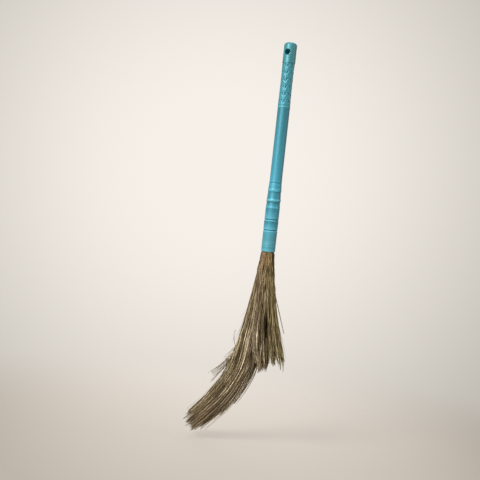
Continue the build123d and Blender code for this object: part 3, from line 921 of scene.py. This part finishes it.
        if choice.random() < wisp_share:
            start = choice.integers(wisp_first_step, len(line) - wisp_last_step)
            wisp_length = min(choice.uniform(*wisp_lengths), wisp_rest_share * (length - depth[start]))
            heading = line[start + 1] - line[start]
            heading = heading / np.linalg.norm(heading)
            away = choice.normal(0, wisp_away, 3)
            curl = choice.normal(0, wisp_curl, 3)
            share = np.linspace(0, 1, wisp_points)[:, None]
            wisp = line[start] + wisp_length * (heading * share + away * share + curl * share ** 2)
            wisp_radii = wisp_radius * (1 - wisp_taper * share[:, 0])
            wisp_place = np.repeat(stem_place[start:start + 1], wisp_points, axis=0)
            stems.append((wisp, wisp_radii, stem_tone[start], lock_hue, wisp_place))

# Stray stems stand off both edges: so many in a hank, spread so far, each with a start, a middle and an end as
# depth below the mouth and distance across.
stray_points = 12
stray_radius = 0.5
stray_taper = 0.4
stray_spread_share = 0.5
stray_jitter = 1.2
stray_rows = {"front": -0.4, "middle": 0.0, "back": 0.4}
stray_row_jitter = 0.08
stray_tones = (0.1, 0.6)
across_in_mm = 0.02
through_in_mm = 0.03
strays = (
    ("hank_left_front", 4, 4.0, (220, -44), (238, -58), (258, -76)),
    ("hank_left_front", 7, 7.0, (228, -43), (254, -60), (288, -82)),
    ("hank_left_middle", 4, 6.0, (232, -50), (256, -68), (286, -94)),
    ("hank_left_front", 5, 6.0, (238, -47), (270, -74), (300, -104)),
    ("hank_left_middle", 4, 5.0, (250, -55), (284, -82), (318, -108)),
    ("hank_left_back", 4, 6.0, (244, -49), (272, -80), (304, -112)),
    ("hank_left_front", 2, 2.0, (230, -46), (213, -60), (189, -55)),
    ("hank_right_middle", 4, 1.6, (74, 20), (124, 40), (182, 62)),
    ("hank_right_middle", 2, 3.0, (118, 30), (190, 52), (232, 66)),
    ("hank_centre_left_front", 3, 4.0, (346, -50), (372, -62), (398, -80)),
    ("hank_centre_left_back", 2, 4.0, (364, -64), (392, -80), (414, -100)))
share = np.linspace(0, 1, stray_points)[:, None]
for name, count, spread, *bend_places in strays:
    start, middle, end = np.array(bend_places)
    for stray in range(count):
        bend = (1 - share) ** 2 * start + 2 * share * (1 - share) * middle + share ** 2 * end
        off = choice.normal(0, stray_spread_share * spread, 2)
        bend = bend + off * share ** drift_power + choice.normal(0, stray_jitter, 2)
        row = stray_rows[name.split("_")[-1]] + choice.normal(0, stray_row_jitter)
        y = row * (bundle_radius + fan_front_slope * bend[:, 0])
        line = np.stack([bend[:, 1], y, mouth_z - bend[:, 0]], axis=1)
        radii = stray_radius * (1 - stray_taper * share[:, 0])
        stray_place = np.stack([across_in_mm * bend[:, 1], through_in_mm * y, bend[:, 0] * mm], axis=1)
        hank_stems[name].append((line, radii, choice.uniform(*stray_tones), choice.random(), stray_place))

for name, stems in sorted(hank_stems.items()):
    piece = bundle_of_stems(name.replace("hank", "grass"), stems, grass)
    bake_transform(piece)
    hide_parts(name)

# Studio: a pale floor that fades into a pale surround with a painted pool of light behind the object, a
# large soft lamp in front, weaker ones at the side, above and behind, and a camera at the photograph's angle.

camera_azimuth = math.radians(26.0)
camera_elevation = math.radians(1.0)
camera_lean = math.radians(6.278)
camera_distance = 2.2
pixels_across = 480
handle_length = 480
handle_pixels = 209.3
metres_in_pixel = handle_length * mm / handle_pixels
axis_right_of_centre = 29.23
axis_height_at_centre = -0.4301
back = Vector((math.sin(camera_azimuth) * math.cos(camera_elevation),
               -math.cos(camera_azimuth) * math.cos(camera_elevation), math.sin(camera_elevation)))
level_right = Vector((math.cos(camera_azimuth), math.sin(camera_azimuth), 0))
level_up = back.cross(level_right)
right = level_right * math.cos(camera_lean) + level_up * math.sin(camera_lean)
up = level_up * math.cos(camera_lean) - level_right * math.sin(camera_lean)
aim = Vector((0, 0, axis_height_at_centre)) - right * axis_right_of_centre * metres_in_pixel
eye = aim + back * camera_distance
camera = bpy.data.cameras.new("photograph_camera")
camera.sensor_width = 36.0
camera.lens = camera.sensor_width * camera_distance / (pixels_across * metres_in_pixel)
camera_object = bpy.data.objects.new("photograph_camera", camera)
bpy.context.scene.collection.objects.link(camera_object)
camera_object.matrix_world = Matrix((
    (right.x, up.x, back.x, eye.x), (right.y, up.y, back.y, eye.y), (right.z, up.z, back.z, eye.z), (0, 0, 0, 1)))
bpy.context.scene.camera = camera_object
bpy.context.scene.view_settings.view_transform = "Standard"

floor_drop = 16
floor_half = 3000.0
floor_cells = 24
floor_z = cad_box[0].z - floor_drop * mm
lines = np.linspace(-floor_half, floor_half, floor_cells + 1)
floor_corners = [(x, y, floor_z / mm) for y in lines for x in lines]
floor_faces = []
for row in range(floor_cells):
    for column in range(floor_cells):
        first = row * (floor_cells + 1) + column
        floor_faces.append((first, first + 1, first + floor_cells + 2, first + floor_cells + 1))

# Matt paper: pale warm grey, painted lighter behind the object and darker to the sides as a painted pool of
# light, glowing for the camera as painted light so that shadows stay faint, and fading out to the surround.
paper_turn = math.radians(6.0)
paper_left = 0.02
paper_level = 0.5
paler_behind = 0.5
darker_beside = -1.35
camera_glow_share = 0.78
fade_start = 0.25
fade_end = 1.5
paper, tree = new_material("matt_paper")
object_space = add_node(tree, "TexCoord")
flat = add_node(tree, "VectorMath", {0: object_space.outputs["Object"], 1: (1, 1, 0)}, operation="MULTIPLY")
distance_out = add_node(tree, "VectorMath", {0: flat}, operation="LENGTH")
behind = add_node(tree, "VectorMath", {
    0: flat, 1: (-math.sin(camera_azimuth), math.cos(camera_azimuth), 0)}, operation="DOT_PRODUCT")
to_right = add_node(tree, "VectorMath", {
    0: flat, 1: (math.cos(camera_azimuth + paper_turn), math.sin(camera_azimuth + paper_turn), 0)},
    operation="DOT_PRODUCT")
off_middle = add_node(tree, "Math", {0: to_right, 1: paper_left}, operation="ADD")
off_squared = add_node(tree, "Math", {0: off_middle, 1: 2.0}, operation="POWER")
towards_back = add_node(tree, "Math", {0: behind, 1: paler_behind, 2: paper_level}, operation="MULTIPLY_ADD")
# Painted pool of light on the paper: paler behind the object, darker beside it.
paleness = add_node(tree, "Math", {
    0: off_squared, 1: darker_beside, 2: towards_back}, operation="MULTIPLY_ADD", use_clamp=True)
paper_colour = add_node(tree, "Mix", {0: paleness, 6: linear("#B1A99E"), 7: linear("#EBE3D9")}, data_type="RGBA")
paper_matt = add_node(tree, "BsdfDiffuse", {"Color": paper_colour})
paper_glow = add_node(tree, "Emission", {"Color": paper_colour})
light_path = add_node(tree, "LightPath")
# Painted light: the paper glows for camera rays.
glow_share = add_node(tree, "Math", {0: light_path.outputs["Is Camera Ray"], 1: camera_glow_share}, operation="MULTIPLY")
paper_surface = add_node(tree, "MixShader", {0: glow_share, 1: paper_matt, 2: paper_glow})
clear = add_node(tree, "BsdfTransparent")
clear_share = add_node(tree, "MapRange", {
    "Value": distance_out, "From Min": fade_start, "From Max": fade_end}, interpolation_type="SMOOTHERSTEP")
fading_paper = add_node(tree, "MixShader", {0: clear_share, 1: paper_surface, 2: clear})
add_node(tree, "OutputMaterial", {"Surface": fading_paper})
floor = new_piece("floor", floor_corners, floor_faces, paper)

pool_left = math.radians(1.6)
pool_climb = math.radians(3.2)
pool_start = 0.05
pool_end = 0.48
fill_strength = 0.22
pool_axis = (-math.sin(camera_azimuth + pool_left) * math.cos(pool_climb),
             math.cos(camera_azimuth + pool_left) * math.cos(pool_climb), math.sin(pool_climb))
world = bpy.data.worlds.new("studio")
world.use_nodes = True
tree = world.node_tree
tree.nodes.clear()
light_path = add_node(tree, "LightPath")
mirror_or_camera = add_node(tree, "Math", {
    0: light_path.outputs["Is Camera Ray"], 1: light_path.outputs["Is Glossy Ray"]}, operation="MAXIMUM")
seen = add_node(tree, "Math", {
    0: mirror_or_camera, 1: light_path.outputs["Is Transmission Ray"]}, operation="MAXIMUM")
direction = add_node(tree, "TexCoord")
facing = add_node(tree, "VectorMath", {0: direction.outputs["Generated"], 1: pool_axis}, operation="DOT_PRODUCT")
off_pool = add_node(tree, "Math", {0: facing}, operation="ARCCOSINE")
# Painted pool of light in the surround that camera, mirror and transmission rays see.
dimmed = add_node(tree, "MapRange", {
    "Value": off_pool, "From Min": pool_start, "From Max": pool_end}, interpolation_type="SMOOTHSTEP")
surround = add_node(tree, "Mix", {0: dimmed, 6: linear("#F6F0E9"), 7: linear("#B2ADA4")}, data_type="RGBA")
seen_light = add_node(tree, "Background", {"Color": surround, "Strength": 1.0})
fill_light = add_node(tree, "Background", {"Color": linear("#FBF8F4"), "Strength": fill_strength})
either = add_node(tree, "MixShader", {0: seen, 1: fill_light, 2: seen_light})
add_node(tree, "OutputWorld", {"Surface": either})
bpy.context.scene.world = world

# Lamps: degrees round and up from the object's middle, metres away and across, and watts.
object_middle = Vector((-0.03, 0, -0.43))
lamps = (("key_lamp", -12, 32, 1.8, 0.9, 50), ("side_lamp", 108, 22, 1.9, 1.4, 9),
         ("top_lamp", 60, 82, 1.9, 0.9, 7), ("back_lamp", 200, 35, 1.9, 1.4, 16))
for name, azimuth, elevation, distance, size, power in lamps:
    lamp = bpy.data.lights.new(name, "AREA")
    lamp.shape = "DISK"
    lamp.size = size
    lamp.energy = power
    holder = bpy.data.objects.new(name, lamp)
    bpy.context.scene.collection.objects.link(holder)
    a, e = math.radians(azimuth), math.radians(elevation)
    towards = Vector((math.sin(a) * math.cos(e), -math.cos(a) * math.cos(e), math.sin(e)))
    holder.location = object_middle + towards * distance
    holder.rotation_euler = towards.to_track_quat("Z", "Y").to_euler()
